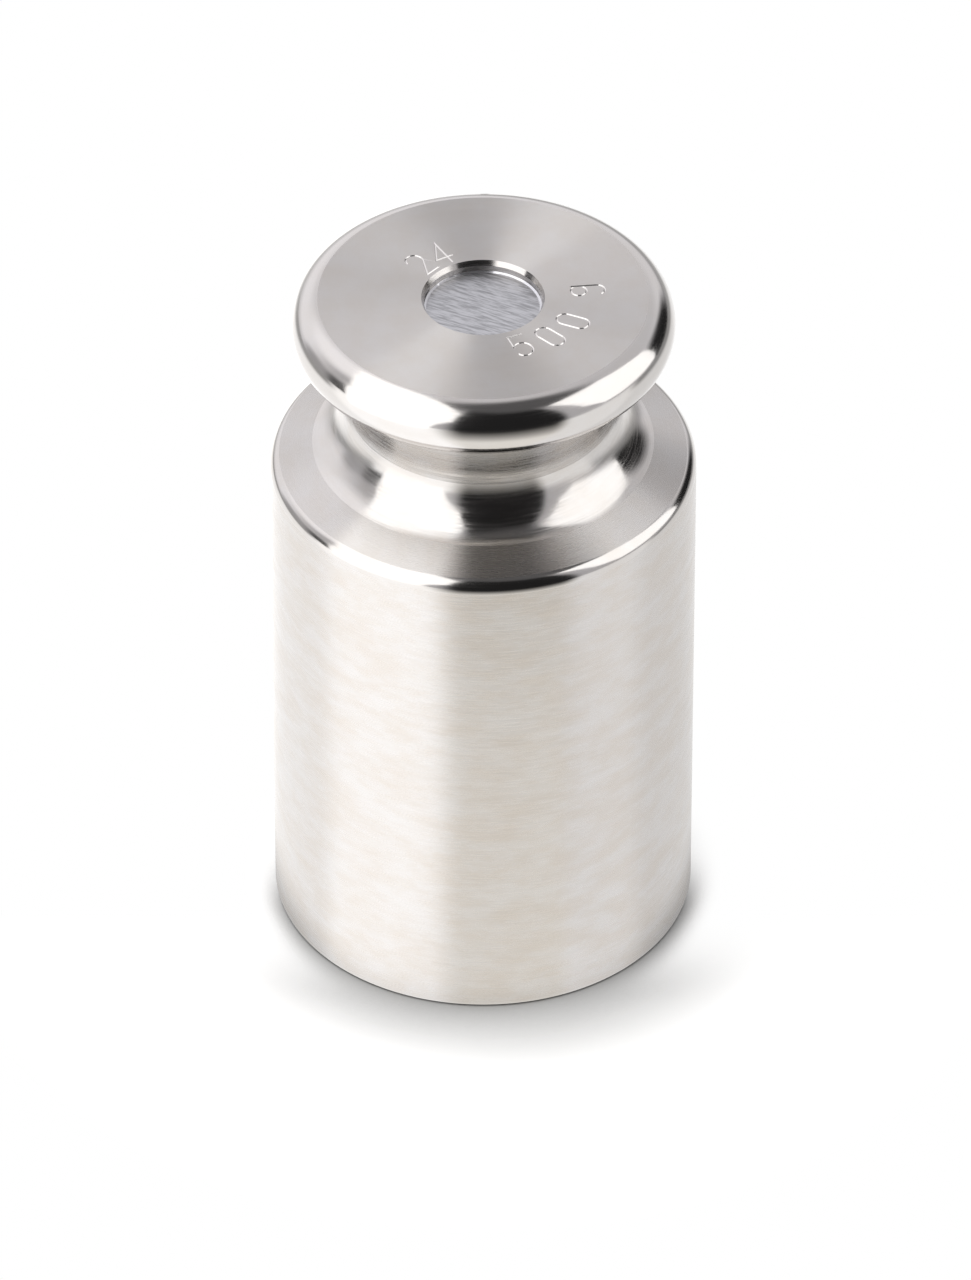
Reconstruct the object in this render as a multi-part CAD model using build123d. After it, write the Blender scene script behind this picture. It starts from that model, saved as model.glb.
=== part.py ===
from build123d import *

import os
from math import asin, cos, degrees, radians, sin, sqrt, tan

# Cylindrical 500 g weight with a lifting knob, turned from one bar of stainless
# steel. A stepped bore runs down its axis from the top of the knob. From the
# mouth it holds a soft metal seal, a slotted screw plug, and an adjusting cavity
# with a little steel shot at its bottom.
# Millimetres, +Z up, origin at the centre of the base.

# Outside, as turned
BODY_RADIUS = 19.0
BODY_HEIGHT = 48.6          # base to the corner where the side would meet the cone
BASE_EDGE_RADIUS = 0.5
CORNER_RADIUS = 1.4         # rounding between the side and the cone
CONE_SLOPE = 23.5           # degrees that the shoulder rises towards the neck
NECK_TAPER = 9.0            # degrees that the neck's wall leans out towards the knob
COVE_RADIUS = 5.5           # hollow sweep from the cone up to the neck
KNOB_RADIUS = 17.0
KNOB_RIM_RADIUS = 2.8       # the rim is a half round
KNOB_HEIGHT = 63.38         # base to the middle of the rim
KNOB_FACE_RISE = 2.77       # middle of the rim to the faced top
GRIP_DEPTH = 5.1            # rim of the knob in to the neck at its narrowest
NECK_FILLET_RADIUS = 1.2    # between the neck and the knob's underside

# Bore, from the top face down
MOUTH_CHAMFER_WIDTH = 0.25
MOUTH_CHAMFER_DEPTH = 0.45
SEAL_BORE_RADIUS = 5.2
SEAL_BORE_DEPTH = 4.0
KEY_GROOVE_DEPTH = 2.6      # top face to the middle of the ring groove
KEY_GROOVE_HALF_WIDTH = 0.5
KEY_GROOVE_RADIUS = 5.6
THREAD_RADIUS = 5.0
THREAD_LENGTH = 6.0
SCREW_SEAT_WIDTH = 0.4      # step between the thread and the narrower cavity
BASE_THICKNESS = 8.3        # base to the tip of the drill point
DRILL_POINT_ANGLE = 118.0   # degrees, full angle

# Seal, screw plug and shot
SEAL_RECESS = 1.0           # top face of the knob to the face of the seal
SEAL_EDGE_RADIUS = 0.12
SCREW_CLEARANCE = 0.03      # all round, under the crests of the thread
SCREW_CHAMFER = 0.2
SLOT_WIDTH = 1.6
SLOT_DEPTH = 1.8
SHOT_RADIUS = 1.8
SHOT_GAP = 0.05             # least distance of a ball from the wall and from the next layer
SHOT_LAYERS = 2
SHOT_PER_LAYER = 3

# Sizes that follow
top = KNOB_HEIGHT + KNOB_FACE_RISE
knob_underside = KNOB_HEIGHT - KNOB_RIM_RADIUS
screw_top = top - SEAL_BORE_DEPTH
thread_end = screw_top - THREAD_LENGTH
neck_radius = KNOB_RADIUS - GRIP_DEPTH
cavity_radius = THREAD_RADIUS - SCREW_SEAT_WIDTH
drill_half_angle = radians(DRILL_POINT_ANGLE / 2)
cavity_floor = BASE_THICKNESS + cavity_radius / tan(drill_half_angle)


def cone_height(radius):
    """Height of the shoulder cone at a distance from the axis."""
    return BODY_HEIGHT + (BODY_RADIUS - radius) * tan(radians(CONE_SLOPE))


def cove_centre():
    """Middle of the arc that touches the cone and the neck at its narrowest."""
    across = neck_radius + COVE_RADIUS
    return across, cone_height(across) + COVE_RADIUS / cos(radians(CONE_SLOPE))


def neck_wall_radius(height):
    """Distance of the neck's straight wall from the axis, at a height."""
    taper = radians(NECK_TAPER)
    cove_x, cove_z = cove_centre()
    start_x = cove_x - COVE_RADIUS * cos(taper)
    start_z = cove_z + COVE_RADIUS * sin(taper)
    return start_x + (height - start_z) * tan(taper)


def shouldered_body():
    """Side, cone, cove and tapered neck, up to the middle of the knob."""
    slope = radians(CONE_SLOPE)
    turn = 90 - CONE_SLOPE

    # Rounded corner, tangent to the side and to the cone from inside
    corner_x = BODY_RADIUS - CORNER_RADIUS
    corner_z = cone_height(corner_x) - CORNER_RADIUS / cos(slope)

    edge_x = BODY_RADIUS - BASE_EDGE_RADIUS
    edge = CenterArc((edge_x, BASE_EDGE_RADIUS), BASE_EDGE_RADIUS, -90, 90)
    corner = CenterArc((corner_x, corner_z), CORNER_RADIUS, 0, turn)
    cove = CenterArc(cove_centre(), COVE_RADIUS, 180 + turn, -turn - NECK_TAPER)

    neck_end = (neck_wall_radius(KNOB_HEIGHT), KNOB_HEIGHT)
    section = [
        Line((0, 0), edge @ 0),
        edge,
        Line(edge @ 1, corner @ 0),
        corner,
        Line(corner @ 1, cove @ 0),
        cove,
        Polyline(cove @ 1, neck_end, (0, KNOB_HEIGHT), (0, 0)),
    ]
    return revolve(Plane.XZ * make_face(section), Axis.Z)


def half_round_knob():
    """Flat disc with a half-round rim, faced off at the top."""
    rim_x = KNOB_RADIUS - KNOB_RIM_RADIUS
    rim_end = degrees(asin(KNOB_FACE_RISE / KNOB_RIM_RADIUS))
    rim = CenterArc((rim_x, KNOB_HEIGHT), KNOB_RIM_RADIUS, -90, 90 + rim_end)
    outline = Polyline(rim @ 1, (0, top), (0, knob_underside), rim @ 0)
    return revolve(Plane.XZ * make_face([rim, outline]), Axis.Z)


def turned_blank():
    """Outside of the weight, with the corner under the knob rounded. The rounding is at most
    as large as the flat of the underside leaves room for."""
    body = shouldered_body()
    knob = half_round_knob()
    blank = body + knob
    flat = KNOB_RADIUS - KNOB_RIM_RADIUS - neck_wall_radius(knob_underside)
    room = flat * tan(radians((90 - NECK_TAPER) / 2))
    under_knob = new_edges(body, knob, combined=blank)
    return fillet(under_knob, min(NECK_FILLET_RADIUS, room))


def stepped_bore():
    """Solid of everything bored out of the blank, down to the drill point."""
    groove_z = top - KEY_GROOVE_DEPTH
    mouth_radius = SEAL_BORE_RADIUS + MOUTH_CHAMFER_WIDTH
    section = Polyline(
        (0, top),
        (mouth_radius, top),
        (SEAL_BORE_RADIUS, top - MOUTH_CHAMFER_DEPTH),
        (SEAL_BORE_RADIUS, groove_z + KEY_GROOVE_HALF_WIDTH),
        (KEY_GROOVE_RADIUS, groove_z),
        (SEAL_BORE_RADIUS, groove_z - KEY_GROOVE_HALF_WIDTH),
        (SEAL_BORE_RADIUS, screw_top),
        (THREAD_RADIUS, screw_top),
        (THREAD_RADIUS, thread_end),
        (cavity_radius, thread_end),
        (cavity_radius, cavity_floor),
        (0, BASE_THICKNESS),
        close=True,
    )
    return revolve(Plane.XZ * make_face(section), Axis.Z)


def sealing_plug():
    """Soft metal driven over the screw, with a bead pressed into the ring groove."""
    groove_z = top - KEY_GROOVE_DEPTH
    section = Polyline(
        (0, screw_top),
        (SEAL_BORE_RADIUS, screw_top),
        (SEAL_BORE_RADIUS, groove_z - KEY_GROOVE_HALF_WIDTH),
        (KEY_GROOVE_RADIUS, groove_z),
        (SEAL_BORE_RADIUS, groove_z + KEY_GROOVE_HALF_WIDTH),
        (SEAL_BORE_RADIUS, top - SEAL_RECESS),
        (0, top - SEAL_RECESS),
        close=True,
    )
    plug = revolve(Plane.XZ * make_face(section), Axis.Z)
    face_rim = plug.edges().group_by(Axis.Z)[-1]
    return fillet(face_rim, SEAL_EDGE_RADIUS)


def closing_screw():
    """Headless screw plug that stands on the end of the thread."""
    radius = THREAD_RADIUS - SCREW_CLEARANCE
    standing = (Align.CENTER, Align.CENTER, Align.MIN)
    hanging = (Align.CENTER, Align.CENTER, Align.MAX)
    plug = Pos(0, 0, thread_end) * Cylinder(radius, THREAD_LENGTH, align=standing)
    end_rims = plug.edges().filter_by(GeomType.CIRCLE)
    plug = chamfer(end_rims, SCREW_CHAMFER)
    slot = Pos(0, 0, screw_top) * Box(2 * THREAD_RADIUS, SLOT_WIDTH, SLOT_DEPTH, align=hanging)
    return plug - slot


def adjusting_shot():
    """Rings of balls on the drill point, each ring nested in the gaps of the one below."""
    ring_radius = cavity_radius - SHOT_RADIUS - SHOT_GAP
    stand_off = SHOT_RADIUS + SHOT_GAP
    wall_rise = ring_radius / tan(drill_half_angle)
    first = BASE_THICKNESS + wall_rise + stand_off / sin(drill_half_angle)
    half_step = 180 / SHOT_PER_LAYER
    sideways = 2 * ring_radius * sin(radians(half_step / 2))
    layer_rise = sqrt((2 * SHOT_RADIUS + SHOT_GAP) ** 2 - sideways ** 2)

    balls = []
    for layer in range(SHOT_LAYERS):
        for place in range(SHOT_PER_LAYER):
            angle = radians((2 * place + layer) * half_step)
            centre = Pos(
                ring_radius * cos(angle),
                ring_radius * sin(angle),
                first + layer * layer_rise,
            )
            balls.append(centre * Sphere(SHOT_RADIUS))
    return Compound(children=balls)


pieces = {
    "weight_body": turned_blank() - stepped_bore(),
    "sealing_plug": sealing_plug(),
    "closing_screw": closing_screw(),
    "adjusting_shot": adjusting_shot(),
}

os.makedirs("parts", exist_ok=True)
for name, piece in pieces.items():
    export_step(piece, f"parts/{name}.step")
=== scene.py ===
import math

import bpy
import numpy as np
from bpy.props import (
    FloatProperty,
    FloatVectorProperty,
    IntProperty,
    PointerProperty,
    StringProperty,
)
from bpy.types import Operator, Panel, PropertyGroup
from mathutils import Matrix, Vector
from mathutils.geometry import delaunay_2d_cdt


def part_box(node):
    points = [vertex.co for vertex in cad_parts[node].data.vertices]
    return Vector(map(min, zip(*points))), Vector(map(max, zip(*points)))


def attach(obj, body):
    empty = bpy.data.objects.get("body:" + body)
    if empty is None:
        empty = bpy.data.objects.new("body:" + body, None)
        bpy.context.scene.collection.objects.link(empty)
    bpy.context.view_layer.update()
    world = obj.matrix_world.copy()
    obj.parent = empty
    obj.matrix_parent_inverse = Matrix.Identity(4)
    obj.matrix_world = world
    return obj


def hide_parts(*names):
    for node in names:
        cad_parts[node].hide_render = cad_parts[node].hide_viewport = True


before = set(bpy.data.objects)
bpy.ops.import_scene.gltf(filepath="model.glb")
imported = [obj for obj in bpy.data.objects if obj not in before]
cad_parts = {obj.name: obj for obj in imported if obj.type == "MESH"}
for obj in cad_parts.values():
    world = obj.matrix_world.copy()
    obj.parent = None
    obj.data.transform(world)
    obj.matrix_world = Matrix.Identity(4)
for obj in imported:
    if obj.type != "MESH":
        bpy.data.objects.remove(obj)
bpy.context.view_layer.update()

bl_info = {
    "name": "Calibration Weight",
    "version": (1, 0, 0),
    "blender": (4, 5, 0),
    "location": "View3D > Sidebar > Weight",
    "description": "Dresses a knob weight: turned and engraved steel, planed seal, screw and shot",
    "category": "Object",
}

MM = 0.001
ARC_STEP = 4.0              # degrees between two points of an arc in a turned outline
# Above this angle the cove takes the neck's steel, with its rings and its darker colour
COVE_POLISH_END = 188.0     # degrees round the cove where its polish gives way to tool rings
FACE_RINGS = (10.6 * MM, 12.6 * MM)     # circles in the mesh of the knob's face, round its marks
NOISE_LOW, NOISE_HIGH = 0.3, 0.7        # a noise texture lies nearly all between these
SAME_HEIGHT = 1e-7                      # metres: heights closer than this count as the same


# ---------------------------------------------------------------- colours and nodes


def srgb_to_linear(code):
    """Linear RGBA of an sRGB hex colour such as "C8C2BC"."""
    channels = [int(code[i:i + 2], 16) / 255 for i in (0, 2, 4)]
    linear = [c / 12.92 if c <= 0.04045 else ((c + 0.055) / 1.055) ** 2.4 for c in channels]
    return (*linear, 1.0)


def add_node(tree, kind, settings=None, **links):
    """Adds a node. settings names its attributes or, by socket name or number, its input values.
    links names an input by its socket name, or iN for number N, and gives the output to join."""
    node = tree.nodes.new(kind)
    for key, value in (settings or {}).items():
        if isinstance(key, str) and hasattr(node, key):
            setattr(node, key, value)
        else:
            node.inputs[key].default_value = value
    for key, output in links.items():
        numbered = key[0] == "i" and key[1:].isdigit()
        socket = node.inputs[int(key[1:])] if numbered else node.inputs[key.replace("_", " ")]
        tree.links.new(output, socket)
    return node


def new_material(name):
    """An empty node material: (material, tree, its output node)."""
    material = bpy.data.materials.new(name)
    material.use_nodes = True
    tree = material.node_tree
    tree.nodes.clear()
    return material, tree, tree.nodes.new("ShaderNodeOutputMaterial")


def ramp(tree, value, low, high, start=0.0, end=1.0, smooth=True):
    """start where value is low, end where it is high, and a smooth or straight way between."""
    kind = "SMOOTHSTEP" if smooth else "LINEAR"
    return add_node(
        tree, "ShaderNodeMapRange",
        {"interpolation_type": kind, "From Min": low, "From Max": high,
         "To Min": start, "To Max": end},
        Value=value,
    ).outputs["Result"]


def calculate(tree, operation, first, second=None):
    """One sum of the Math node. Each side is an output or a number."""
    numbers = {i: v for i, v in enumerate((first, second)) if isinstance(v, (int, float))}
    joins = {
        f"i{i}": v for i, v in enumerate((first, second))
        if v is not None and not isinstance(v, (int, float))
    }
    return add_node(tree, "ShaderNodeMath", {"operation": operation, **numbers}, **joins).outputs[0]


def blend(tree, share, first, second):
    """first where share is 0 and second where it is 1. Each is an output or a number."""
    numbers = {i: v for i, v in ((2, first), (3, second)) if isinstance(v, (int, float))}
    joins = {f"i{i}": v for i, v in ((2, first), (3, second)) if i not in numbers}
    return add_node(
        tree, "ShaderNodeMix", {"data_type": "FLOAT", **numbers}, i0=share, **joins
    ).outputs[0]


# ---------------------------------------------------------------- settings


def length(name, description, millimetres):
    """A size in metres, given here in millimetres."""
    return FloatProperty(
        name=name, description=description, default=millimetres * MM, min=0.0,
        precision=5, unit="LENGTH",
    )


def turn(name, description, degrees):
    """An angle, given here in degrees."""
    return FloatProperty(
        name=name, description=description, default=math.radians(degrees), unit="ROTATION",
    )


def colour(name, description, code):
    """A colour, given here as sRGB hex."""
    return FloatVectorProperty(
        name=name, description=description, default=srgb_to_linear(code)[:3],
        subtype="COLOR", size=3, min=0.0, max=1.0,
    )


def plain(name, description, value):
    """A number with no unit."""
    return FloatProperty(name=name, description=description, default=value)


body_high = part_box("weight_body")[1]
seal_low, seal_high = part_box("sealing_plug")
screw_low, screw_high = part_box("closing_screw")


class WeightShape(PropertyGroup):
    """Outline of the turned body, outside and bore."""

    radius: length("Radius", "Side of the body", body_high[0] / MM)
    top: length("Top", "Height of the knob's face", body_high[2] / MM)
    corner_height: length("Corner height", "Where the side would meet the cone", 48.6)
    base_edge: length("Base edge", "Rounding of the base's edge", 0.5)
    corner_radius: length("Corner radius", "Rounding between side and cone", 1.4)
    cone_slope: turn("Cone slope", "Rise of the shoulder towards the neck", 23.5)
    neck_radius: length("Neck radius", "Narrowest part under the knob", 11.9)
    neck_taper: turn("Neck taper", "Lean of the neck's wall out to the knob", 9.0)
    cove_radius: length("Cove radius", "Hollow sweep from cone to neck", 5.5)
    neck_fillet: length("Neck fillet", "Rounding under the knob", 1.2)
    knob_radius: length("Knob radius", "Rim of the knob", 17.0)
    rim_radius: length("Rim radius", "Half round of the knob's rim", 2.8)
    rim_height: length("Rim height", "Middle of the rim above the base", 63.38)
    mouth_width: length("Mouth chamfer width", "Chamfer round the recess", 0.25)
    mouth_depth: length("Mouth chamfer depth", "Chamfer down into the recess", 0.45)
    seal_bore: length("Seal bore", "Radius of the recess and seal bore", 5.2)
    groove_radius: length("Key groove", "Bottom of the ring groove", seal_high[0] / MM)
    groove_depth: length("Groove depth", "Knob's face to the ring groove", 2.6)
    groove_half: length("Groove half width", "Half of the groove's mouth", 0.5)
    thread_radius: length("Thread radius", "Bore of the screw plug", 5.0)
    cavity_radius: length("Cavity radius", "Blind bore under the screw", 4.6)
    base_thickness: length("Base thickness", "Base to the tip of the drill point", 8.3)
    drill_point: turn("Drill point", "Full angle of the drill's tip", 118.0)
    segments: IntProperty(name="Segments", description="Steps round the axis", default=384)


class WeightMarks(PropertyGroup):
    """Value and number cut into the knob's face."""

    value: StringProperty(name="Value", description="Mass, feet outward", default="500 g")
    value_radius: length("Value radius", "Middle of the value to the axis", 8.5)
    value_angle: turn("Value angle", "Middle of the value, from the right", -29)
    value_drift: plain("Value drift", "Move outward for each length along", 0.153)
    number: StringProperty(name="Number", description="Plain number, feet inward", default="24")
    number_radius: length("Number radius", "Middle of the number to the axis", 7.35)
    number_angle: turn("Number angle", "Middle of the number, from the right", 130)
    value_gap: plain("Value gap", "Space between its figures, of their height", 0.5)
    number_gap: plain("Number gap", "Space between its figures, of their height", 0.25)
    height: length("Height", "Height of a figure", 3.0)
    stroke: length("Stroke", "Width of the cut", 0.19)
    depth: length("Depth", "Depth of the cut", 0.065)


class WeightSeal(PropertyGroup):
    """Lip and planing marks of the soft metal seal."""

    lip_width: length("Lip width", "Metal pressed up round the face", 0.18)
    lip_height: length("Lip height", "Rise of the lip above the face", 0.1)
    slant: turn("Slant", "Way of the planing marks, from the right", -26)
    marks: IntProperty(name="Marks", description="Furrows left by the cutter", default=90)
    deepest: length("Deepest", "Most depth where furrows cross", 0.03)
    segments: IntProperty(name="Segments", description="Steps round the axis", default=256)


class WeightFinish(PropertyGroup):
    """Colours and roughness of the metals."""

    steel: colour("Steel", "Stainless steel", "CFCCCA")
    seal: colour("Seal", "Soft seal metal", "C8C8CC")
    brass: colour("Brass", "Screw plug", "D9B56A")


class WeightStudio(PropertyGroup):
    """Camera and light."""

    distance: length("Camera distance", "From the aim", 1082.1)
    elevation: turn("Elevation", "Camera above the horizon", 39.063)
    lens: FloatProperty(name="Lens", description="Focal length in mm", default=337.6)
    aim_x: length("Aim sideways", "To the right of the axis", 0.216)
    aim_z: length("Aim height", "Above the base", 27.26)
    left_light: plain("Left panel", "Radiance of the left softbox", 1.85)
    right_light: plain("Right panel", "Radiance of the right softbox", 1.7)


# ---------------------------------------------------------------- turned shapes


def arc(centre, radius, start, end):
    """Points centre + radius * (cos a, sin a), with a going evenly from start to end degrees."""
    steps = max(2, math.ceil(abs(end - start) / ARC_STEP))
    a = np.radians(np.linspace(start, end, steps + 1))
    return np.stack([centre[0] + radius * np.cos(a), centre[1] + radius * np.sin(a)], axis=1)


def straight(start, end, collar=0.1 * MM, pitch=2.0 * MM):
    """Points along a line: even steps, with one more close to each end, so that shading
    from a rounded neighbour stays at the corner."""
    start, end = np.array(start, float), np.array(end, float)
    span = np.linalg.norm(end - start)
    if span < 4 * collar:
        return np.stack([start, end])
    inner = np.linspace(collar / span, 1 - collar / span, max(2, math.ceil(span / pitch) + 1))
    t = np.concatenate([[0.0], inner, [1.0]])[:, None]
    return start + t * (end - start)


def outside_stretches(shape):
    """The outline from the base's centre up to the edge of the knob's face, as a list of
    (points, finish). Each arc is tangent to its neighbours: the corner touches the side and
    the cone from inside, and the cove touches the cone and the leaning neck from outside."""
    slope, taper = shape.cone_slope, shape.neck_taper
    lean, taper_degrees = 90 - math.degrees(slope), math.degrees(taper)

    def cone_height(r):
        return shape.corner_height + (shape.radius - r) * math.tan(slope)

    edge_x = shape.radius - shape.base_edge
    corner_x = shape.radius - shape.corner_radius
    corner_z = cone_height(corner_x) - shape.corner_radius / math.cos(slope)
    cove_x = shape.neck_radius + shape.cove_radius
    cove_z = cone_height(cove_x) + shape.cove_radius / math.cos(slope)
    underside = shape.rim_height - shape.rim_radius
    rim_x = shape.knob_radius - shape.rim_radius
    rim_end = math.degrees(math.asin((shape.top - shape.rim_height) / shape.rim_radius))

    edge = arc((edge_x, shape.base_edge), shape.base_edge, -90, 0)
    corner = arc((corner_x, corner_z), shape.corner_radius, 0, lean)
    cove = arc((cove_x, cove_z), shape.cove_radius, 180 + lean, COVE_POLISH_END)
    cove_top = arc((cove_x, cove_z), shape.cove_radius, COVE_POLISH_END, 180 - taper_degrees)
    throat_z = underside - shape.neck_fillet
    climb = (throat_z - cove_top[-1][1] + shape.neck_fillet * math.sin(taper)) / math.cos(taper)
    throat_x = cove_top[-1][0] + climb * math.sin(taper) + shape.neck_fillet * math.cos(taper)
    throat = arc((throat_x, throat_z), shape.neck_fillet, 180 - taper_degrees, 90)
    rim = arc((rim_x, shape.rim_height), shape.rim_radius, -90, rim_end)
    return [
        (straight((0, 0), edge[0]), "faced"),
        (edge, "corner"),
        (straight(edge[-1], corner[0]), "side"),
        (corner, "corner"),
        (straight(corner[-1], cove[0]), "cone"),
        (cove, "cove"),
        (cove_top, "neck"),
        (straight(cove_top[-1], throat[0]), "neck"),
        (throat, "neck"),
        (straight(throat[-1], rim[0]), "neck"),
        (rim, "rim"),
    ]


def bore_stretches(shape):
    """The outline from the mouth of the recess down to the drill's tip."""
    thread_top, thread_end = screw_high[2], screw_low[2]
    floor = shape.base_thickness + shape.cavity_radius / math.tan(shape.drill_point / 2)
    groove = shape.top - shape.groove_depth
    corners = [
        (shape.seal_bore + shape.mouth_width, shape.top),
        (shape.seal_bore, shape.top - shape.mouth_depth),
        (shape.seal_bore, groove + shape.groove_half),
        (shape.groove_radius, groove),
        (shape.seal_bore, groove - shape.groove_half),
        (shape.seal_bore, thread_top),
        (shape.thread_radius, thread_top),
        (shape.thread_radius, thread_end),
        (shape.cavity_radius, thread_end),
        (shape.cavity_radius, floor),
        (0.0, shape.base_thickness),
    ]
    finishes = ["cove"] + ["neck"] * (len(corners) - 2)
    return [(straight(a, b), f) for a, b, f in zip(corners[:-1], corners[1:], finishes)]


def join_stretches(stretches):
    """(points, finish of each step) of stretches that follow one another."""
    points = [stretches[0][0]] + [p[1:] for p, _ in stretches[1:]]
    finish = [f for p, f in stretches for _ in range(len(p) - 1)]
    return np.concatenate(points), finish


def turned_grid(outline, segments, first_vertex, open_start, open_end):
    """Surface of revolution S(t, a) = (r(t) cos a, r(t) sin a, z(t)) on a grid of outline points
    by angles. An end on the axis is one pole vertex. Returns vertices, faces as lists of index
    arrays, the outline step of each face, and the indices of the first and last rings."""
    a = np.arange(segments) * (2 * math.pi / segments)
    around = np.stack([np.cos(a), np.sin(a)], axis=1)
    rings = outline[(0 if open_start else 1):(len(outline) if open_end else -1)]
    xy = rings[:, None, :1] * around[None]
    z = np.broadcast_to(rings[:, None, 1:], (len(rings), segments, 1))
    vertices = np.concatenate([xy, z], axis=2).reshape(-1, 3)

    index = first_vertex + np.arange(len(vertices)).reshape(len(rings), segments)
    ahead = np.roll(index, -1, axis=1)
    quads = np.stack([index[:-1], ahead[:-1], ahead[1:], index[1:]], axis=2).reshape(-1, 4)
    lead = 0 if open_start else 1
    quad_steps = np.repeat(np.arange(len(rings) - 1) + lead, segments)
    faces, steps = [quads], [quad_steps]
    for is_open, row, step, height in (
        (open_start, 0, 0, outline[0, 1]),
        (open_end, -1, len(outline) - 2, outline[-1, 1]),
    ):
        if is_open:
            continue
        pole = first_vertex + len(vertices)
        vertices = np.concatenate([vertices, [[0.0, 0.0, height]]])
        here, there = (ahead[row], index[row]) if row == 0 else (index[row], ahead[row])
        faces.append(np.stack([np.full(segments, pole), here, there], axis=1))
        steps.append(np.full(segments, step))
    return vertices, faces, steps, index[0], index[-1]


def mesh_from(name, vertices, faces, slots, smooth, materials):
    """A mesh object from arrays. faces, slots and smooth are lists that go together: an index
    array of faces with the same number of corners, their material numbers, and their shading."""
    counts = np.concatenate([np.full(len(f), f.shape[1]) for f in faces])
    corners = np.concatenate([f.ravel() for f in faces])
    starts = np.concatenate([[0], np.cumsum(counts)[:-1]])
    mesh = bpy.data.meshes.new(name)
    mesh.vertices.add(len(vertices))
    mesh.vertices.foreach_set("co", np.asarray(vertices, np.float32).ravel())
    mesh.loops.add(len(corners))
    mesh.loops.foreach_set("vertex_index", corners.astype(np.int32))
    mesh.polygons.add(len(counts))
    mesh.polygons.foreach_set("loop_start", starts.astype(np.int32))
    mesh.polygons.foreach_set("material_index", np.concatenate(slots).astype(np.int32))
    mesh.polygons.foreach_set("use_smooth", np.concatenate(smooth).astype(bool))
    for material in materials:
        mesh.materials.append(material)
    mesh.update(calc_edges=True)
    mesh.validate()
    piece = bpy.data.objects.new(name, mesh)
    bpy.context.scene.collection.objects.link(piece)
    return piece


def mark_sharp_edges(piece, limit=math.radians(7)):
    """Marks each edge between faces that meet at more than limit as sharp."""
    mesh = piece.data
    normals = np.empty(len(mesh.polygons) * 3, np.float32)
    mesh.polygons.foreach_get("normal", normals)
    normals = normals.reshape(-1, 3)
    loop_edges = np.empty(len(mesh.loops), np.int32)
    mesh.loops.foreach_get("edge_index", loop_edges)
    totals = np.empty(len(mesh.polygons), np.int32)
    mesh.polygons.foreach_get("loop_total", totals)
    faces = np.repeat(np.arange(len(totals)), totals)
    order = np.argsort(loop_edges, kind="stable")
    edges, first, count = np.unique(loop_edges[order], return_index=True, return_counts=True)
    pairs = count == 2
    one, two = faces[order[first[pairs]]], faces[order[first[pairs] + 1]]
    sharp = np.zeros(len(mesh.edges), bool)
    sharp[edges[pairs]] = (normals[one] * normals[two]).sum(1) < math.cos(limit)
    mesh.attributes.new("sharp_edge", "BOOLEAN", "EDGE").data.foreach_set("value", sharp)


# ---------------------------------------------------------------- engraving

# Figures as an engraver's single line, in a box 1 high: ("line", points...) or
# ("arc", centre, radius across, radius up, start, end), angles in degrees from the right.
FIGURES = {
    " ": (0.0, []),
    "0": (0.50, [
        ("arc", (0.25, 0.75), 0.25, 0.25, 0, 180),
        ("line", (0.0, 0.75), (0.0, 0.25)),
        ("arc", (0.25, 0.25), 0.25, 0.25, 180, 360),
        ("line", (0.5, 0.25), (0.5, 0.75)),
    ]),
    "2": (0.50, [
        ("arc", (0.25, 0.74), 0.25, 0.26, 165, -35),
        ("line", (0.455, 0.591), (0.0, 0.0), (0.5, 0.0)),
    ]),
    "4": (0.54, [("line", (0.38, 0.0), (0.38, 1.0), (0.0, 0.28), (0.54, 0.28))]),
    "5": (0.52, [
        ("line", (0.48, 1.0), (0.05, 1.0), (0.02, 0.56)),
        ("arc", (0.25, 0.31), 0.27, 0.31, 148, -150),
    ]),
    "g": (0.46, [
        ("arc", (0.23, 0.77), 0.23, 0.23, 0, 360),
        ("line", (0.46, 0.98), (0.46, 0.22)),
        ("arc", (0.23, 0.22), 0.23, 0.22, 0, -150),
    ]),
}


def figure_lines(figure, turn_step=15.0):
    """Polylines of one figure in its box."""
    lines = []
    for kind, *data in FIGURES[figure][1]:
        if kind == "line":
            lines.append(np.array(data, float))
            continue
        centre, across, up, start, end = data
        steps = max(2, math.ceil(abs(end - start) / turn_step))
        a = np.radians(np.linspace(start, end, steps + 1))
        lines.append(np.stack(
            [centre[0] + across * np.cos(a), centre[1] + up * np.sin(a)], axis=1
        ))
    return lines


def placed_figures(text, height, radius, middle, outward, gap, drift=0.0):
    """Centre lines of a text stamped by hand round the axis: each figure stands upright on its
    own radius, with its top outward or to the axis. gap is the space between two figures, of
    their height, and drift is how far a figure moves outward for each length along the text."""
    widths = [FIGURES[f][0] for f in text]
    pitch = [(a + b) / 2 + gap for a, b in zip(widths[:-1], widths[1:])]
    along = np.concatenate([[0.0], np.cumsum(pitch)]) * height
    along -= along[-1] / 2
    up_sign = 1 if outward else -1
    placed = []
    for figure, width, offset in zip(text, widths, along):
        angle = middle - up_sign * offset / radius
        radial = np.array([math.cos(angle), math.sin(angle)])
        up = radial * up_sign
        right = np.array([up[1], -up[0]])
        for line in figure_lines(figure):
            x = (line[:, :1] - width / 2) * height
            y = (line[:, 1:] - 0.5) * height
            placed.append(radial * (radius + drift * offset) + x * right + y * up)
    return placed


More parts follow.
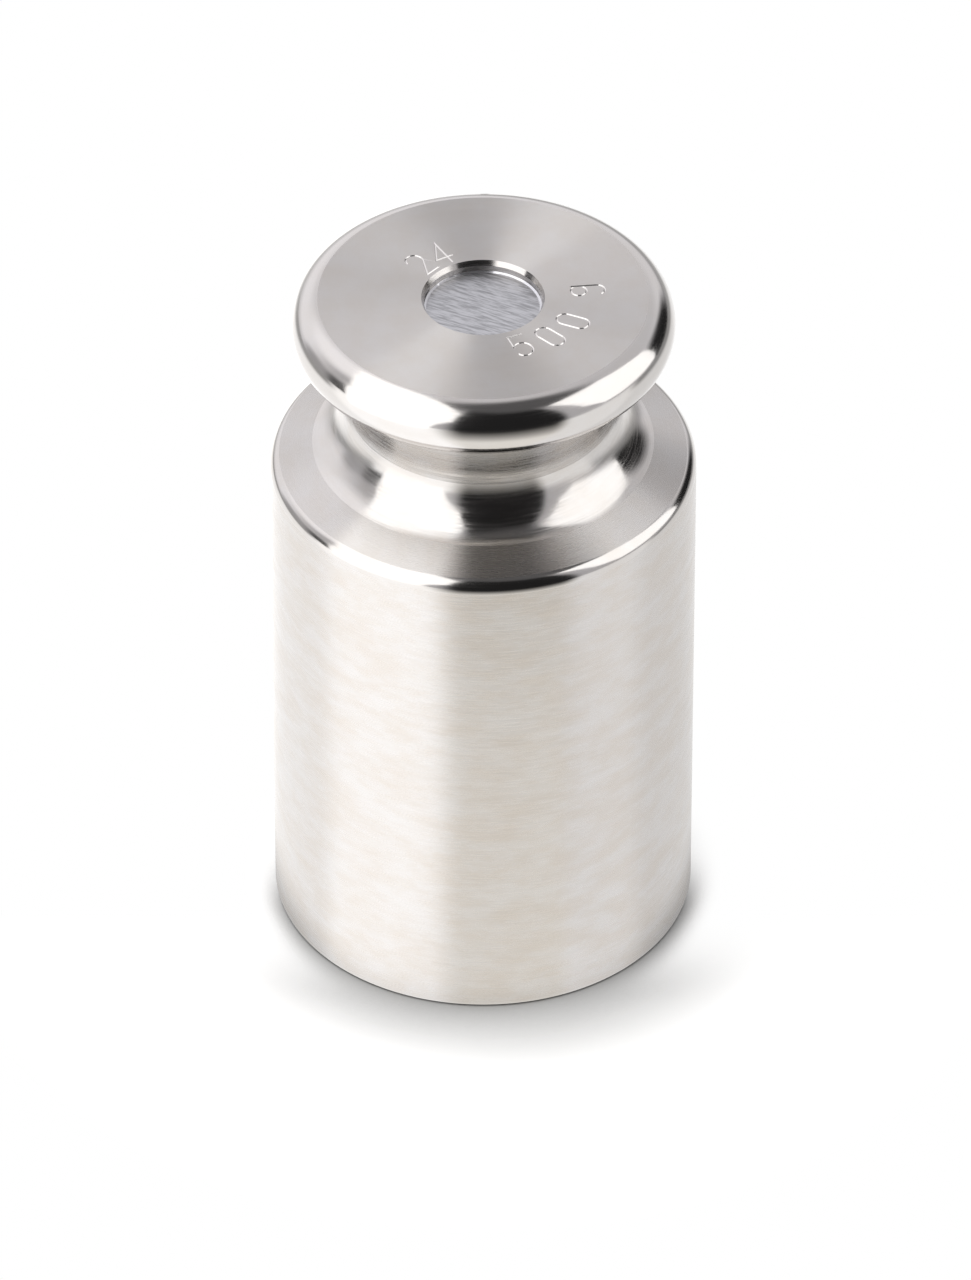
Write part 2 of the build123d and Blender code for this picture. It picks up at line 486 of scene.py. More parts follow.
def stroke_outline(line, half, sharpest=0.2):
    """Closed outline at distance half round a polyline: two offset sides, mitred at its
    corners, and a half-round cap at each end. A mitre reaches half / sharpest at most."""
    step = np.diff(line, axis=0)
    step /= np.linalg.norm(step, axis=1, keepdims=True)
    normal = np.stack([-step[:, 1], step[:, 0]], axis=1)
    mitre = np.concatenate([normal[:1], normal[:-1] + normal[1:], normal[-1:]])
    mitre /= np.linalg.norm(mitre, axis=1, keepdims=True)
    beside = np.concatenate([normal, normal[-1:]])
    stretch = 1 / np.maximum((mitre * beside).sum(1, keepdims=True), sharpest)
    offset = mitre * stretch * half

    def cap(end, out, side):
        a = np.radians(np.linspace(90, -90, 7)[1:-1])[:, None]
        return end + half * (np.cos(a) * out + np.sin(a) * side)

    return np.concatenate([
        line + offset,
        cap(line[-1], step[-1], normal[-1]),
        (line - offset)[::-1],
        cap(line[0], -step[0], -normal[0]),
    ])


def distance_to_lines(points, lines):
    """Least distance of each point from a set of polylines: to each straight piece, the
    length of what is left after taking the nearest point on it."""
    starts = np.concatenate([p[:-1] for p in lines])
    spans = np.concatenate([np.diff(p, axis=0) for p in lines])
    to_point = points[:, None, :] - starts[None]
    t = (to_point * spans[None]).sum(2) / (spans ** 2).sum(1)[None]
    nearest = to_point - np.clip(t, 0, 1)[..., None] * spans[None]
    return np.sqrt((nearest ** 2).sum(2)).min(1)


def engraved_face(inner, outer, lines, half, depth):
    """Flat ring between two circles of points, with V-shaped cuts: a Delaunay mesh that keeps
    the two circles, FACE_RINGS, the cuts' outlines and their centre lines. A vertex at distance
    d from the nearest centre line lies depth * (1 - d / half) below the face. Returns the plane
    coordinates of the new vertices, the faces as indices into inner + outer + new, and the
    depth of each new vertex."""
    segments = len(outer)
    loops = [inner, outer]
    radius = np.linalg.norm(outer[0])
    loops += [outer * (r / radius) for r in FACE_RINGS]
    loops += [stroke_outline(line, half) for line in lines]
    points, edges, count = [], [], 0
    for loop in loops:
        index = count + np.arange(len(loop))
        edges.append(np.stack([index, np.roll(index, -1)], axis=1))
        points.append(loop)
        count += len(loop)
    for line in lines:
        index = count + np.arange(len(line))
        edges.append(np.stack([index[:-1], index[1:]], axis=1))
        points.append(line)
        count += len(line)
    # Worked in millimetres, so that the mesher's own tolerance is small beside a cut
    flat = np.concatenate(points) / MM
    result = delaunay_2d_cdt(
        [Vector(p) for p in flat], np.concatenate(edges).tolist(), [], 0, 1e-6, True
    )
    out = np.array([tuple(v) for v in result[0]]) * MM
    triangles = np.array(result[2])
    sources = result[3]
    centre = out[triangles].mean(axis=1)
    hole_edge = np.linalg.norm(inner[0]) * math.cos(math.pi / segments)
    hole = np.linalg.norm(centre, axis=1) < hole_edge
    triangles = triangles[~hole]
    ab = out[triangles[:, 1]] - out[triangles[:, 0]]
    ac = out[triangles[:, 2]] - out[triangles[:, 0]]
    flipped = ab[:, 0] * ac[:, 1] - ab[:, 1] * ac[:, 0] < 0
    triangles[flipped] = triangles[flipped][:, ::-1]

    # The first vertices of the result that come from the two circles take their places
    number = np.full(len(out), -1)
    for i, origin in enumerate(sources):
        ringed = [o for o in origin if o < 2 * segments]
        if ringed:
            number[i] = ringed[0]
    fresh = np.flatnonzero(number < 0)
    used = np.unique(triangles)
    fresh = fresh[np.isin(fresh, used)]
    number[fresh] = 2 * segments + np.arange(len(fresh))
    drop = depth * np.clip(1 - distance_to_lines(out[fresh], lines) / half, 0, 1)
    return out[fresh], number[triangles], drop


# ---------------------------------------------------------------- metals


# The steel as each cut leaves it. roughness is the blur across the grooves and spread how much
# less there is along them. grain is how unevenly the lines gloss, groove and wave are the
# heights of the lines and of slow unevenness, streak is how far a line runs, all in mm, shade
# is the share of light given back, and stain is how much the patches of handling tint it.
CUTS = {
    # Left from facing the bar: fine rings, like the face
    "faced": dict(
        roughness=0.35, spread=0.75, grain=0.15, groove=0.0005, wave=0.0, streak=7, shade=0.96,
        stain=1.0),
    # The side: one long fine cut rubbed with a belt, satin, with faint clouds of handling
    "side": dict(
        roughness=0.28, spread=0.7, grain=0.15, groove=0.0003, wave=0.001, streak=2.5, shade=1.0,
        stain=1.7),
    # The rounded corner: polished, a thin bright and black line round the shoulder
    "corner": dict(
        roughness=0.13, spread=0.4, grain=0.25, groove=0.0002, wave=0.0, streak=7, shade=0.98,
        stain=1.0),
    # The shoulder's cone: faced finely, it holds soft dark and light fans
    "cone": dict(
        roughness=0.27, spread=0.95, grain=0.05, groove=0.0001, wave=0.0, streak=7, shade=0.93,
        stain=1.0),
    # The cove: polished with a cloth across fine brushed rings
    "cove": dict(
        roughness=0.17, spread=0.75, grain=0.45, groove=0.0007, wave=0.0, streak=5, shade=0.98,
        stain=1.0),
    # The neck and the bore: left from the tool, duller, with the rings plain to see. Their steel
    # gives back 0.78 of the light, which makes the neck under the knob and the bore darker
    "neck": dict(
        roughness=0.25, spread=0.7, grain=0.6, groove=0.0025, wave=0.0, streak=4, shade=0.78,
        stain=1.7),
    # The knob's rim: polished to the touch, nearly a mirror, with a few rings left
    "rim": dict(
        roughness=0.13, spread=0.6, grain=0.35, groove=0.0005, wave=0.0, streak=7, shade=1.0,
        stain=0.6),
    # The knob's face: faced very finely, a smooth bow of light across it
    "face": dict(
        roughness=0.3, spread=0.97, grain=0.06, groove=0.0002, wave=0.0, streak=7, shade=0.97,
        stain=1.0),
    # Inside the engraved cuts: burnished by the point, bright
    "cut": dict(
        roughness=0.2, spread=0.0, grain=0.0, groove=0.0, wave=0.0, streak=7, shade=1.1,
        stain=0.0),
}


def turned_steel(
    name, roughness, spread, grain, groove, wave, streak, shade, stain=1.0, tint="steel"
):
    """Metal cut on a lathe. Each pass of the tool leaves a groove round the axis, so the gloss
    spreads across the grooves and stays sharp along them. Fine lines vary with the distance
    from the axis and the height, and fade out round the turn."""
    material, tree, output = new_material(name)
    finish = bpy.context.scene.weight_finish
    where = add_node(tree, "ShaderNodeTexCoord").outputs["Object"]
    parts = add_node(tree, "ShaderNodeSeparateXYZ", i0=where)
    x, y, z = parts.outputs
    flat = add_node(tree, "ShaderNodeCombineXYZ", i0=x, i1=y)
    radius = add_node(
        tree, "ShaderNodeVectorMath", {"operation": "LENGTH"}, i0=flat.outputs[0]
    ).outputs["Value"]

    pitch, run = 0.16 * MM, streak * MM
    cloud_size, cloud_flatness = 4.0 * MM, 2.2
    lathe = add_node(
        tree, "ShaderNodeCombineXYZ",
        i0=calculate(tree, "MULTIPLY", radius, 1 / pitch),
        i1=calculate(tree, "MULTIPLY", z, 1 / pitch),
        i2=calculate(tree, "MULTIPLY", x, 1 / run),
    ).outputs[0]
    lines = add_node(
        tree, "ShaderNodeTexNoise",
        {"noise_dimensions": "4D", "Scale": 1.0, "Detail": 3.0, "Roughness": 0.65},
        Vector=lathe, W=calculate(tree, "MULTIPLY", y, 1 / run),
    ).outputs["Fac"]
    flattened = add_node(
        tree, "ShaderNodeVectorMath", {"operation": "MULTIPLY", 1: (1.0, 1.0, cloud_flatness)},
        i0=where,
    ).outputs["Vector"]
    clouds = add_node(
        tree, "ShaderNodeTexNoise", {"Scale": 1 / cloud_size, "Detail": 5.0, "Roughness": 0.65},
        Vector=flattened,
    ).outputs["Fac"]

    rough = ramp(
        tree, lines, NOISE_LOW, NOISE_HIGH, roughness * (1 - grain), roughness * (1 + grain),
        smooth=False,
    )
    clean = Vector(getattr(finish, tint)) * shade
    film = (0.03, 0.05, 0.075)      # red, green and blue that a film of handling takes away
    kept = [1 - stain * loss for loss in film]
    handled = Vector([c * k for c, k in zip(clean, kept)])
    tone = add_node(
        tree, "ShaderNodeMix", {"data_type": "RGBA", 6: (*clean, 1), 7: (*handled, 1)},
        i0=ramp(tree, clouds, NOISE_LOW, NOISE_HIGH),
    ).outputs[2]
    links = {"Base_Color": tone, "Roughness": rough}
    for height, distance in ((lines, groove), (clouds, wave)):
        if distance:
            links["Normal"] = add_node(
                tree, "ShaderNodeBump", {"Strength": 1.0, "Distance": distance * MM},
                Height=height, **{k: v for k, v in links.items() if k == "Normal"},
            ).outputs["Normal"]
    # A quarter turn sets the spread of the gloss across the grooves, which run round the axis
    tangent = add_node(
        tree, "ShaderNodeTangent", {"direction_type": "RADIAL", "axis": "Z"}
    ).outputs[0]
    shader = add_node(
        tree, "ShaderNodeBsdfPrincipled",
        {"Metallic": 1.0, "Anisotropic": spread, "Anisotropic Rotation": 0.25},
        Tangent=tangent, **links,
    )
    tree.links.new(shader.outputs[0], output.inputs["Surface"])
    return material


def planed_seal_metal():
    """Soft seal metal, planed flat with a straight cutter: bluish, satin, with long slanted tool
    marks that catch the light one by one. Each mark's colour darkens towards its bottom, a painted
    shade in the furrows."""
    material, tree, output = new_material("planed_seal_metal")
    scene = bpy.context.scene
    mark_length, mark_width, mark_depth = 2.1 * MM, 0.24 * MM, 0.02 * MM
    mark_low, mark_high = 0.36, 0.6     # the noise at the bottom and at the top of a mark
    # Painted shade: a mark's colour darkens to this share of the seal colour at its bottom
    furrow_painted_shade = 0.6                    # light from its bottom, as a share of its top's
    where = add_node(tree, "ShaderNodeTexCoord").outputs["Object"]
    aligned = add_node(
        tree, "ShaderNodeMapping",
        {"vector_type": "TEXTURE", "Rotation": (0, 0, scene.weight_seal.slant),
         "Scale": (mark_length, mark_width, 1.0)},
        Vector=where,
    ).outputs[0]
    marks = add_node(
        tree, "ShaderNodeTexNoise", {"Scale": 1.0, "Detail": 5.0, "Roughness": 0.65},
        Vector=aligned,
    ).outputs["Fac"]
    base = Vector(scene.weight_finish.seal)
    tone = add_node(
        tree, "ShaderNodeMix", {"data_type": "RGBA", 6: (*base * furrow_painted_shade, 1), 7: (*base, 1)},
        i0=ramp(tree, marks, mark_low, mark_high),
    ).outputs[2]
    bump = add_node(
        tree, "ShaderNodeBump", {"Strength": 1.0, "Distance": mark_depth}, Height=marks
    ).outputs["Normal"]
    shader = add_node(
        tree, "ShaderNodeBsdfPrincipled", {"Metallic": 1.0, "Roughness": 0.38},
        Base_Color=tone, Normal=bump,
    )
    tree.links.new(shader.outputs[0], output.inputs["Surface"])
    return material


def burnished_seal_metal():
    """The seal's lip, rubbed bright where it was pressed up against the recess."""
    return turned_steel(
        "burnished_seal_metal", roughness=0.16, spread=0.3, grain=0.2, groove=0.0005, wave=0.0,
        streak=7, shade=1.1, tint="seal",
    )


def turned_brass():
    """Free-cutting brass as it leaves the lathe: yellow, bright, with fine tool lines."""
    return turned_steel(
        "turned_brass", roughness=0.28, spread=0.4, grain=0.2, groove=0.001, wave=0.0,
        streak=7, shade=1.0, tint="brass",
    )


def tumbled_steel():
    """Steel shot, tumbled smooth: an even satin with faint clouding."""
    return turned_steel(
        "tumbled_steel_shot", roughness=0.32, spread=0.0, grain=0.1, groove=0.0, wave=0.001,
        streak=7, shade=0.95,
    )


# ---------------------------------------------------------------- operators


class WEIGHT_OT_body(Operator):
    """Builds the turned steel body with its bore and the engraved face of the knob"""

    bl_idname = "weight.body"
    bl_label = "Turned body"

    def execute(self, context):
        shape = context.scene.weight_shape
        marks = context.scene.weight_marks
        metals = {name: turned_steel(f"{name}_steel", **cut) for name, cut in CUTS.items()}
        numbers = {name: i for i, name in enumerate(metals)}

        outline, out_finish = join_stretches(outside_stretches(shape))
        bore, bore_finish = join_stretches(bore_stretches(shape))
        segments = shape.segments
        outer = turned_grid(outline, segments, 0, False, True)
        inner = turned_grid(bore, segments, len(outer[0]), True, False)
        vertices = np.concatenate([outer[0], inner[0]])

        lines = placed_figures(
            marks.value, marks.height, marks.value_radius, marks.value_angle, False,
            marks.value_gap, marks.value_drift,
        )
        lines += placed_figures(
            marks.number, marks.height, marks.number_radius, marks.number_angle, True,
            marks.number_gap,
        )
        inner_ring, outer_ring = inner[3], outer[4]
        plane, triangles, drop = engraved_face(
            vertices[inner_ring][:, :2], vertices[outer_ring][:, :2],
            lines, marks.stroke / 2, marks.depth,
        )
        fresh = np.column_stack([plane, shape.top - drop])
        lookup = np.concatenate([
            inner_ring, outer_ring, len(vertices) + np.arange(len(fresh)),
        ])
        vertices = np.concatenate([vertices, fresh])

        faces, slots, smooth = [], [], []
        for grid, names in ((outer, out_finish), (inner, bore_finish)):
            of_step = np.array([numbers[name] for name in names])
            for part, step in zip(grid[1], grid[2]):
                faces.append(part)
                slots.append(of_step[step])
                smooth.append(np.ones(len(part), bool))
        triangles = lookup[triangles]
        in_cut = (vertices[triangles][:, :, 2] < shape.top - SAME_HEIGHT).any(axis=1)
        faces.append(triangles)
        slots.append(np.where(in_cut, numbers["cut"], numbers["face"]))
        smooth.append(np.zeros(len(triangles), bool))

        piece = mesh_from("engraved_body", vertices, faces, slots, smooth, metals.values())
        mark_sharp_edges(piece)
        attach(piece, "root")
        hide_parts("weight_body")
        return {"FINISHED"}


class WEIGHT_OT_seal(Operator):
    """Builds the soft metal seal with its bead, its pressed-up lip and its planed face"""

    bl_idname = "weight.seal"
    bl_label = "Planed seal"

    def execute(self, context):
        shape = context.scene.weight_shape
        seal = context.scene.weight_seal
        bore, half = shape.seal_bore, shape.groove_half
        groove = shape.top - shape.groove_depth
        low, high = seal_low[2], seal_high[2]
        level = high - seal.lip_height
        lip, face_edge = (bore, high), (bore - seal.lip_width, level)
        face_pitch = 0.11 * MM      # fine enough to carry the furrows
        corners = [
            (0, low), (bore, low), (bore, groove - half), (shape.groove_radius, groove),
            (bore, groove + half), lip,
        ]
        stretches = [(straight(a, b), "seal") for a, b in zip(corners[:-1], corners[1:])]
        stretches += [
            (straight(lip, face_edge), "lip"),
            (straight(face_edge, (0, level), pitch=face_pitch), "seal"),
        ]
        outline, finish = join_stretches(stretches)
        vertices, faces, steps, _, _ = turned_grid(outline, seal.segments, 0, False, False)

        # Planing marks: each is a shallow furrow with a smooth section, at its own place
        # across the cut, that fades in and out along it. Depth = sum of d * section * length.
        draw = np.random.default_rng(7)
        count, field = seal.marks, 5    # the furrows lie within field mm of the axis each way
        across_at = draw.uniform(-field, field, count) * MM
        along_at = draw.uniform(-field, field, count) * MM
        width = draw.uniform(0.07, 0.22, count) * MM
        reach = draw.uniform(0.8, 3.5, count) * MM
        depth = draw.uniform(0.002, 0.012, count) * MM
        on_face = np.abs(vertices[:, 2] - level) < SAME_HEIGHT
        x, y = vertices[on_face, 0], vertices[on_face, 1]
        along = x * math.cos(seal.slant) + y * math.sin(seal.slant)
        across = -x * math.sin(seal.slant) + y * math.cos(seal.slant)
        u = (across[:, None] - across_at[None]) / width[None]
        v = (along[:, None] - along_at[None]) / reach[None]
        furrow = (depth[None] * np.exp(-u ** 2) * np.exp(-v ** 4)).sum(1)
        vertices[on_face, 2] -= np.minimum(furrow, seal.deepest)

        flags = [np.ones(len(f), bool) for f in faces]
        on_lip = np.array([name == "lip" for name in finish])
        slots = [on_lip[step] for step in steps]
        metals = [planed_seal_metal(), burnished_seal_metal()]
        piece = mesh_from("planed_seal", vertices, faces, slots, flags, metals)
        mark_sharp_edges(piece, limit=math.radians(30))
        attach(piece, "root")
        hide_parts("sealing_plug")
        return {"FINISHED"}


class WEIGHT_OT_hidden(Operator):
    """Gives the brass screw plug and the steel shot their metals"""

    bl_idname = "weight.hidden"
    bl_label = "Screw and shot"

    def execute(self, context):
        for name, metal in (("closing_screw", turned_brass()), ("adjusting_shot", tumbled_steel())):
            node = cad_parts[name]
            for slot in node.material_slots:
                slot.material = metal
        return {"FINISHED"}


# The two upright softboxes, in metres: how far to the right of the axis, then the corners as
# (distance behind the axis, height). Each runs from beside the camera to behind the weight,
# and its back edge leans over.
LEFT_SOFTBOX = (-0.18, [
    (-0.57, 0.4), (-0.38, 0.16), (-0.31, 0.0), (-0.045, 0.0), (-0.038, 0.066), (-0.021, 0.163),
    (0.018, 0.237), (0.129, 0.379), (0.45, 0.694), (0.67, 1.2), (-0.57, 1.05),
])
RIGHT_SOFTBOX = (0.20, [
    (-0.13, 0.15), (-0.15, 0.47), (0.1, 0.42), (0.108, 0.218), (0.083, 0.141), (0.072, 0.08),
    (0.068, 0.066), (-0.08, 0.075),
])

# Round patches in the metal's surroundings: azimuth from the front, -Y, towards the right, +X,
# elevation, the edge of the even middle and the outer edge, all in degrees, and the level
PATCHES = (
    (127, 10, 12, 24, 0.02),    # the black gap behind the right softbox
    (-88, 6, 4, 17, 0.12),      # the dark gap behind the left softbox
    (-108, 4, 2, 17, 0.5),      # the grey far side of that gap
    (-130, 48, 6, 28, 1.35),    # bright wall above it
    (75, 79, 12, 28, 0.13),     # dark ceiling above the right softbox
)


def softbox(name, sideways, corners, radiance):
    """A flat upright softbox at a distance to the side, with its corners as (y, z). It gives
    light and shows in the metal, from the weight's side only, and never in the camera."""
    material, tree, output = new_material(name)
    geometry = add_node(tree, "ShaderNodeNewGeometry")
    glow = add_node(tree, "ShaderNodeEmission", {"Strength": radiance})
    clear = add_node(tree, "ShaderNodeBsdfTransparent")
    mixed = add_node(
        tree, "ShaderNodeMixShader", i0=geometry.outputs["Backfacing"],
        i1=glow.outputs[0], i2=clear.outputs[0],
    )
    tree.links.new(mixed.outputs[0], output.inputs["Surface"])
    mesh = bpy.data.meshes.new(name)
    points = [(sideways, y, z) for y, z in corners]
    mesh.from_pydata(points, [], [tuple(range(len(points)))])
    mesh.materials.append(material)
    panel = bpy.data.objects.new(name, mesh)
    bpy.context.scene.collection.objects.link(panel)
    panel.visible_camera = False
    panel.visible_shadow = False
    return panel


def near_base(tree, distance, width, start, end):
    """start where the paper meets the weight's base, and end from width on."""
    return ramp(tree, distance, body_high[0], body_high[0] + width, start, end)


def white_paper():
    """White paper on the table. The camera sees lit paper with a painted shadow round the weight's
    base, which runs out into plain white. In the metal the paper glows instead, a painted
    reflection of lit paper: bright at the sides and behind, dimmer with its distance in front,
    where the light from the softboxes doesn't reach, with a painted shadow round the base."""
    material, tree, output = new_material("white_paper")
    where = add_node(tree, "ShaderNodeTexCoord").outputs["Object"]
    parts = add_node(tree, "ShaderNodeSeparateXYZ", i0=where)
    x, y = parts.outputs[0], parts.outputs[1]
    path = add_node(tree, "ShaderNodeLightPath")
    distance = add_node(
        tree, "ShaderNodeVectorMath", {"operation": "LENGTH"}, i0=where
    ).outputs["Value"]

    paper = add_node(tree, "ShaderNodeBsdfDiffuse", {"Color": srgb_to_linear("F6F6F5")})
    shadow_reach, shadow_depth = 13 * MM, 1.5
    ring_width, mirrored_width = 3 * MM, 4 * MM
    occlusion_for_painted_shadow = add_node(
        tree, "ShaderNodeAmbientOcclusion", {"Distance": shadow_reach, "samples": 16}
    ).outputs["AO"]
    # A painted shadow: the paper's colour darkens with its ambient occlusion near the base, wide in
    # front, a narrow ring beside the weight, and faint behind it
    in_front = ramp(tree, y, -6 * MM, -18 * MM)
    ring = calculate(
        tree, "MULTIPLY", near_base(tree, distance, ring_width, 1.0, 0.0),
        ramp(tree, y, 4 * MM, -6 * MM, 0.35, 1.0),
    )
    shade = blend(tree, in_front, ring, 1.0)
    painted_contact_shadow = blend(tree, shade, 1.0, calculate(tree, "POWER", occlusion_for_painted_shadow, shadow_depth))
    # The light of two sheets is added, so that the lit paper reaches white beyond the shadow
    shaded = [
        add_node(
            tree, "ShaderNodeMix", {"data_type": "RGBA", 6: (0, 0, 0, 1), 7: srgb_to_linear(code)},
            i0=painted_contact_shadow,
        ).outputs[2]
        for code in ("F6F6F5", "C4C4C3")
    ]
    sheets = [add_node(tree, "ShaderNodeBsdfDiffuse", Color=tone) for tone in shaded]
    bright = add_node(
        tree, "ShaderNodeAddShader", i0=sheets[0].outputs[0], i1=sheets[1].outputs[0]
    )
    white = add_node(tree, "ShaderNodeEmission", {"Strength": 1.0})
    open_paper = calculate(
        tree, "MAXIMUM", ramp(tree, distance, 24 * MM, 50 * MM),
        calculate(tree, "SUBTRACT", 1.0, shade),
    )
    seen = add_node(
        tree, "ShaderNodeMixShader", i0=open_paper,
        i1=bright.outputs[0], i2=white.outputs[0],
    )
    lit = add_node(
        tree, "ShaderNodeMixShader", i0=path.outputs["Is Camera Ray"],
        i1=paper.outputs[0], i2=seen.outputs[0],
    )

    # What the metal shows is the paper glowing, a painted reflection of lit paper: a wedge in front
    # whose light falls off with the distance, and bright paper beside it and behind, a little
    # darker at the two back corners. The wedge is given by slopes across / ahead: its middle, and
    # how far from it the paper turns bright.
    wedge_start, back_start = -10 * MM, -13 * MM
    lit_to, fall_off, brightest = 88 * MM, 1.25, 1.14
    middle, inner, outer = 0.31, 0.49, 0.9
    far = calculate(tree, "POWER", calculate(tree, "DIVIDE", lit_to, distance), fall_off)
    front = calculate(tree, "MINIMUM", far, brightest)
    ahead = calculate(tree, "MAXIMUM", calculate(tree, "SUBTRACT", wedge_start, y), 1 * MM)
    bearing = calculate(tree, "SUBTRACT", calculate(tree, "DIVIDE", x, ahead), middle)
    beside = ramp(tree, calculate(tree, "ABSOLUTE", bearing), inner, outer)
    across = calculate(tree, "MAXIMUM", calculate(tree, "ABSOLUTE", x), 1 * MM)
    back = calculate(tree, "DIVIDE", calculate(tree, "SUBTRACT", y, back_start), across)
    behind = ramp(tree, back, -0.08, 0.12)
    gaps = calculate(tree, "MULTIPLY", behind, ramp(tree, back, 0.8, 1.8, 1.0, 0.0))
    corners = calculate(tree, "MULTIPLY", gaps, ramp(tree, x, -20 * MM, 20 * MM, 0.16, 0.14))
    reach = blend(tree, behind, 1.0, ramp(tree, distance, 180 * MM, 380 * MM, 1.0, 0.45))
    side = calculate(
        tree, "MULTIPLY", ramp(tree, x, -20 * MM, 20 * MM, 1.6, 1.14),
        calculate(tree, "SUBTRACT", reach, corners),
    )
    level = blend(tree, beside, front, side)
    # Painted shadow in the glow: it dims near the base, to 0.52 beside and behind and to 0.85 in
    # front
    shadow = blend(
        tree, in_front, near_base(tree, distance, mirrored_width, 0.52, 1.0),
        near_base(tree, distance, mirrored_width, 0.85, 1.0),
    )
    tone = add_node(
        tree, "ShaderNodeMix",
        {"data_type": "RGBA", 6: srgb_to_linear("FFFDF8"), 7: srgb_to_linear("FFFFFF")},
        i0=beside,
    ).outputs[2]
    painted_reflection_glow = add_node(
        tree, "ShaderNodeEmission", Color=tone, Strength=calculate(tree, "MULTIPLY", level, shadow)
    )
    mixed = add_node(
        tree, "ShaderNodeMixShader", i0=path.outputs["Is Glossy Ray"],
        i1=lit.outputs[0], i2=painted_reflection_glow.outputs[0],
    )
    tree.links.new(mixed.outputs[0], output.inputs["Surface"])
    return material


def patch(tree, toward, azimuth, elevation, inner, outer):
    """Share of a round patch of the surroundings: 1 within inner degrees of its middle and 0
    beyond outer. Azimuth goes from the front, -Y, towards the right, +X."""
    a, e = math.radians(azimuth), math.radians(elevation)
    middle = (math.sin(a) * math.cos(e), -math.cos(a) * math.cos(e), math.sin(e))
    nearness = add_node(
        tree, "ShaderNodeVectorMath", {"operation": "DOT_PRODUCT", 1: middle}, i0=toward
    ).outputs["Value"]
    return ramp(tree, nearness, math.cos(math.radians(outer)), math.cos(math.radians(inner)))


def studio_surroundings():
    """White in the camera. In the metal a pale wall behind, black in front, a grey ceiling, and
    the dark gaps behind the ends of the two softboxes."""
    world = bpy.data.worlds.new("studio")
    world.use_nodes = True
    tree = world.node_tree
    tree.nodes.clear()
    output = tree.nodes.new("ShaderNodeOutputWorld")
    toward = add_node(tree, "ShaderNodeTexCoord").outputs["Generated"]
    parts = add_node(tree, "ShaderNodeSeparateXYZ", i0=toward)
    path = add_node(tree, "ShaderNodeLightPath")
    # Black in front, in a wedge given by slopes as on the paper, and grey beside it
    middle, inner, outer = 0.36, 0.6, 0.8
    ahead = calculate(
        tree, "MAXIMUM", calculate(tree, "MULTIPLY", parts.outputs[1], -1.0), 0.001
    )
    bearing = calculate(
        tree, "SUBTRACT", calculate(tree, "DIVIDE", parts.outputs[0], ahead), middle
    )
    beside = ramp(tree, calculate(tree, "ABSOLUTE", bearing), inner, outer, 0.02, 0.62)
    # The wall behind is brightest low down and to the left, and dims towards its foot
    behind = ramp(tree, parts.outputs[1], 0.0, 0.6)
    wall = calculate(
        tree, "MULTIPLY", ramp(tree, parts.outputs[2], 0.35, 0.62, 1.2, 0.95),
        ramp(tree, parts.outputs[0], -0.4, 0.4, 1.0, 0.8),
    )
    foot = ramp(tree, parts.outputs[0], -0.4, 0.4, 0.78, 0.45)
    horizon = blend(tree, ramp(tree, parts.outputs[2], 0.0, 0.16), foot, 1.0)
    level = blend(tree, behind, beside, calculate(tree, "MULTIPLY", wall, horizon))
    for *place, tone in PATCHES:
        level = blend(tree, patch(tree, toward, *place), level, tone)
    dim = add_node(tree, "ShaderNodeBackground", Strength=level)
    white = add_node(tree, "ShaderNodeBackground", {"Strength": 1.0})
    dim.inputs["Color"].default_value = srgb_to_linear("FDFCFF")
    white.inputs["Color"].default_value = (1, 1, 1, 1)
    mixed = add_node(
        tree, "ShaderNodeMixShader", i0=path.outputs["Is Camera Ray"],
        i1=dim.outputs[0], i2=white.outputs[0],
    )
    tree.links.new(mixed.outputs[0], output.inputs["Surface"])
    return world


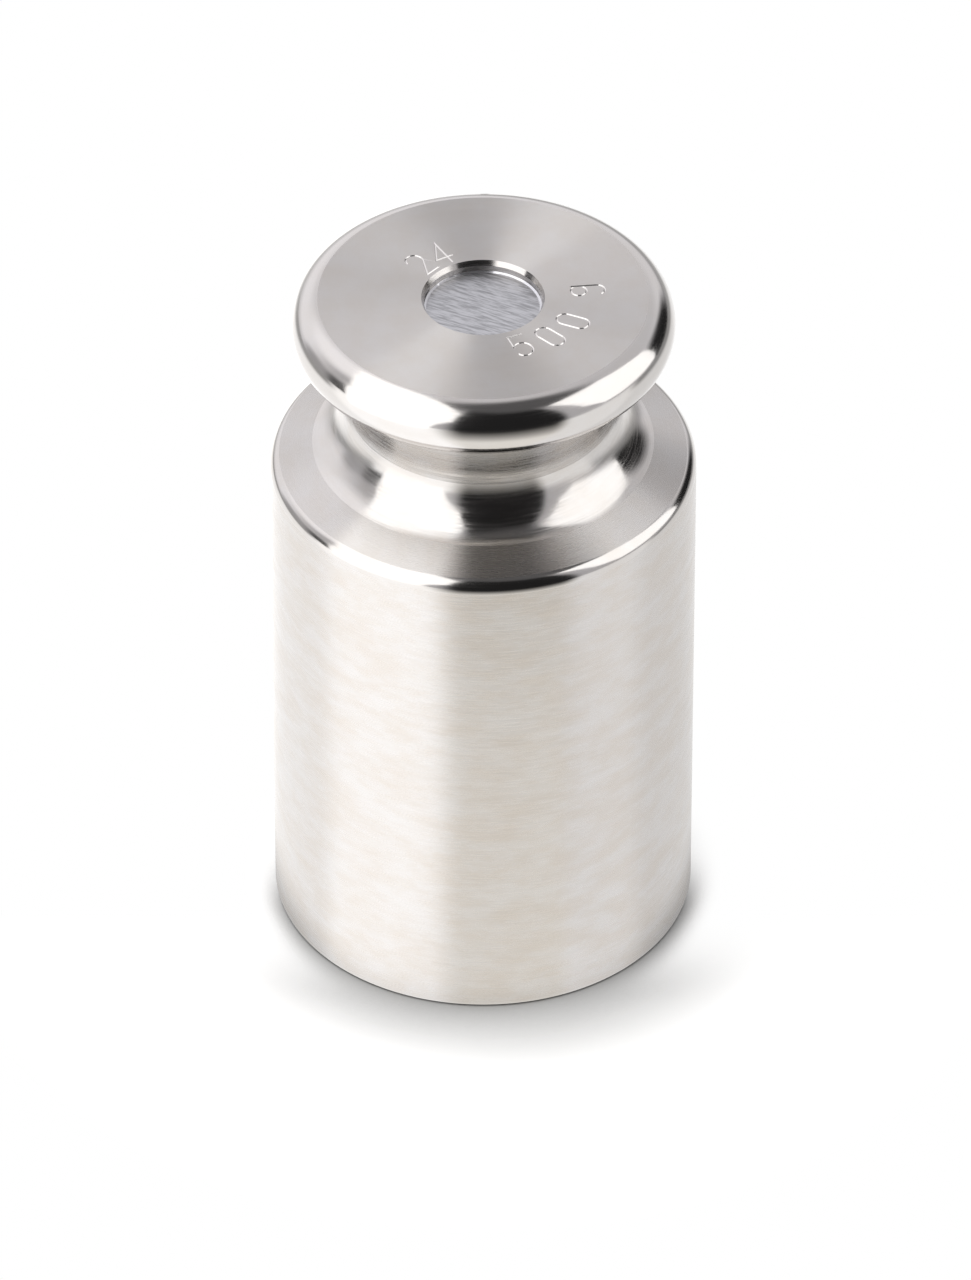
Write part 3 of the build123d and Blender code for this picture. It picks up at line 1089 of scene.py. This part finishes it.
class WEIGHT_OT_stage(Operator):
    """Sets the pale floor, the softboxes, the surroundings and the camera"""

    bl_idname = "weight.stage"
    bl_label = "Stage and light"

    def execute(self, context):
        scene = context.scene
        studio = scene.weight_studio
        scene.view_settings.view_transform = "Standard"

        floor_paper = white_paper()
        mesh = bpy.data.meshes.new("floor")
        half = 1.5
        mesh.from_pydata(
            [(-half, -half, 0), (half, -half, 0), (half, half, 0), (-half, half, 0)],
            [], [(0, 1, 2, 3)],
        )
        mesh.materials.append(floor_paper)
        floor = bpy.data.objects.new("floor", mesh)
        scene.collection.objects.link(floor)

        softbox("softbox_left", *LEFT_SOFTBOX, studio.left_light)
        softbox("softbox_right", *RIGHT_SOFTBOX, studio.right_light)
        scene.world = studio_surroundings()

        camera_data = bpy.data.cameras.new("camera")
        camera_data.sensor_width = 36.0
        camera_data.lens = studio.lens
        camera_data.clip_start, camera_data.clip_end = 0.05, 10.0
        camera = bpy.data.objects.new("camera", camera_data)
        scene.collection.objects.link(camera)
        aim = Vector((studio.aim_x, 0.0, studio.aim_z))
        back = Vector((0.0, -math.cos(studio.elevation), math.sin(studio.elevation)))
        camera.location = aim + back * studio.distance
        camera.rotation_euler = (-back).to_track_quat("-Z", "Y").to_euler()
        scene.camera = camera
        return {"FINISHED"}


class WEIGHT_PT_panel(Panel):
    """Lists the steps that dress the weight"""

    bl_label = "Calibration weight"
    bl_idname = "WEIGHT_PT_panel"
    bl_space_type = "VIEW_3D"
    bl_region_type = "UI"
    bl_category = "Weight"

    def draw(self, context):
        for step in STEPS:
            self.layout.operator(step.bl_idname)
        for group in GROUPS:
            settings = getattr(context.scene, group)
            box = self.layout.box()
            for name in settings.bl_rna.properties.keys():
                if name not in ("rna_type", "name"):
                    box.prop(settings, name)


STEPS = (WEIGHT_OT_body, WEIGHT_OT_seal, WEIGHT_OT_hidden, WEIGHT_OT_stage)
GROUPS = {
    "weight_shape": WeightShape,
    "weight_marks": WeightMarks,
    "weight_seal": WeightSeal,
    "weight_finish": WeightFinish,
    "weight_studio": WeightStudio,
}


def register():
    for cls in (*GROUPS.values(), *STEPS, WEIGHT_PT_panel):
        bpy.utils.register_class(cls)
    for name, group in GROUPS.items():
        setattr(bpy.types.Scene, name, PointerProperty(type=group))


def unregister():
    for name in GROUPS:
        delattr(bpy.types.Scene, name)
    for cls in (WEIGHT_PT_panel, *STEPS[::-1], *reversed(GROUPS.values())):
        bpy.utils.unregister_class(cls)


def main():
    register()
    bpy.ops.weight.body()
    bpy.ops.weight.seal()
    bpy.ops.weight.hidden()
    bpy.ops.weight.stage()


if __name__ == "__main__":
    main()
